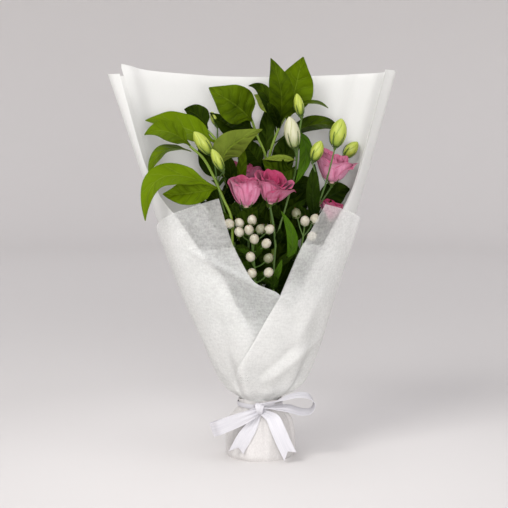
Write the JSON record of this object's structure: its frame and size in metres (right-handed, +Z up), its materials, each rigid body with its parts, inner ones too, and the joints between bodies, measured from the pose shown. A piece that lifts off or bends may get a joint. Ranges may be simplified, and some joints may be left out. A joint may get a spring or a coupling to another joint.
{
  "type": "wrapped lisianthus bouquet",
  "caption": "Hand-tied bouquet of pink lisianthus, buds, green leaves and white berries in translucent white wrap, with a gathered foot and a satin bow, standing upright.",
  "frame": {"origin": "middle of the flat underside of the wrapped foot, on the surface it stands on", "axes": "+Z up along the bouquet, the open front of the wrap faces -Y, +X to the viewer's right"},
  "size_m": [0.3859, 0.1399, 0.5492],
  "materials": {
    "back_wrap": "matte non-woven wrap",
    "veil_wrap": "matte translucent fibrous wrap",
    "foot_wrap": "matte non-woven wrap",
    "satin_ribbon": "satin",
    "broad_leaf": "satin leaf",
    "soft_stem": "matte stem",
    "petal": "matte velvety petal",
    "green_bud": "satin bud",
    "white_bud": "satin bud",
    "white_berry": "satin berry"
  },
  "bodies": {
    "root": {"back_sheet_inner": "back_wrap", "back_sheet_outer": "back_wrap", "front_sheet_inner": "veil_wrap", "front_sheet_outer": "veil_wrap", "foot_wrap": "foot_wrap", "ribbon_bow": "satin_ribbon", "leafy_branch_left_front": "broad_leaf", "leafy_branch_left_back": "broad_leaf", "leafy_branch_back": "broad_leaf", "leafy_branch_right_back": "broad_leaf", "flower_stem_left": "soft_stem", "flower_stem_front": "soft_stem", "flower_stem_middle": "soft_stem", "flower_stem_right": "soft_stem", "bloom_left": "petal", "bloom_middle": "petal", "bloom_right": "petal", "bloom_low": "petal", "bloom_back": "petal", "bud_left_high": "green_bud", "bud_left_low": "green_bud", "bud_top": "green_bud", "bud_white": "white_bud", "bud_right_high": "green_bud", "bud_right_front": "green_bud", "bud_right_back": "green_bud", "bud_small": "green_bud", "berry_spray_left": "white_berry", "berry_spray_right": "white_berry"}
  },
  "joints": []
}
